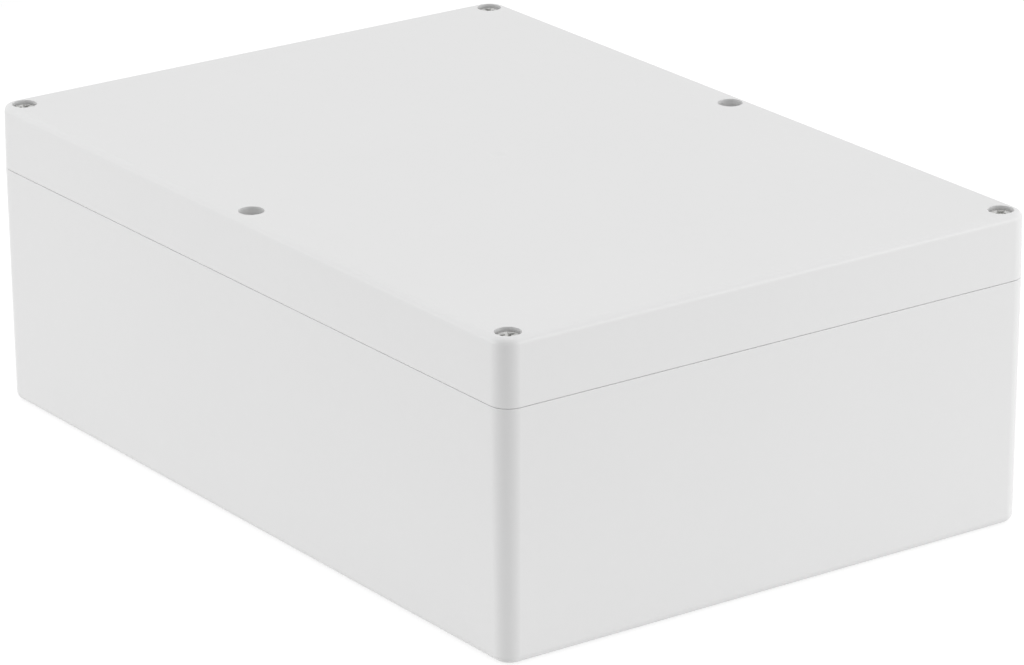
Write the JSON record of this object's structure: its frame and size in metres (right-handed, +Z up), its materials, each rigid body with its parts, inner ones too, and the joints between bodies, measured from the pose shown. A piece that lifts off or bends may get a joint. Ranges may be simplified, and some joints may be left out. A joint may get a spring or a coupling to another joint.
{
  "type": "electronics enclosure",
  "caption": "Sealed rectangular moulded plastic box for electronics, with a deep base, a gasketed lift-off lid, captive cross-head lid screws and inner board bosses.",
  "frame": {"origin": "middle of the underside", "axes": "+X along the long side, +Y along the short side to the rear, +Z up through the lid"},
  "size_m": [0.265, 0.185, 0.095],
  "materials": {
    "grey_plastic": "fine-textured pale grey ABS",
    "gasket_rubber": "matte dark grey silicone cord",
    "screw_steel": "plain stainless steel",
    "insert_brass": "turned and knurled brass"
  },
  "bodies": {
    "base": {"base": "grey_plastic", "threaded_insert_front_left": "insert_brass", "threaded_insert_front_middle": "insert_brass", "threaded_insert_front_right": "insert_brass", "threaded_insert_rear_left": "insert_brass", "threaded_insert_rear_middle": "insert_brass", "threaded_insert_rear_right": "insert_brass"},
    "lid": {"lid": "grey_plastic", "gasket": "gasket_rubber"},
    "lid_screw_front_left": {"lid_screw_front_left": "screw_steel"},
    "lid_screw_front_middle": {"lid_screw_front_middle": "screw_steel"},
    "lid_screw_front_right": {"lid_screw_front_right": "screw_steel"},
    "lid_screw_rear_left": {"lid_screw_rear_left": "screw_steel"},
    "lid_screw_rear_middle": {"lid_screw_rear_middle": "screw_steel"},
    "lid_screw_rear_right": {"lid_screw_rear_right": "screw_steel"}
  },
  "joints": [
    {"name": "lid_lift", "type": "slide", "parent": "base", "child": "lid", "axis": [0, 0, 1], "range_m": [0, 0.1]},
    {"name": "lid_screw_front_left_rise", "type": "slide", "parent": "lid", "child": "lid_screw_front_left", "axis": [0, 0, 1], "range_m": [0, 0.0115]},
    {"name": "lid_screw_front_middle_rise", "type": "slide", "parent": "lid", "child": "lid_screw_front_middle", "axis": [0, 0, 1], "range_m": [0, 0.0115]},
    {"name": "lid_screw_front_right_rise", "type": "slide", "parent": "lid", "child": "lid_screw_front_right", "axis": [0, 0, 1], "range_m": [0, 0.0115]},
    {"name": "lid_screw_rear_left_rise", "type": "slide", "parent": "lid", "child": "lid_screw_rear_left", "axis": [0, 0, 1], "range_m": [0, 0.0115]},
    {"name": "lid_screw_rear_middle_rise", "type": "slide", "parent": "lid", "child": "lid_screw_rear_middle", "axis": [0, 0, 1], "range_m": [0, 0.0115]},
    {"name": "lid_screw_rear_right_rise", "type": "slide", "parent": "lid", "child": "lid_screw_rear_right", "axis": [0, 0, 1], "range_m": [0, 0.0115]}
  ]
}
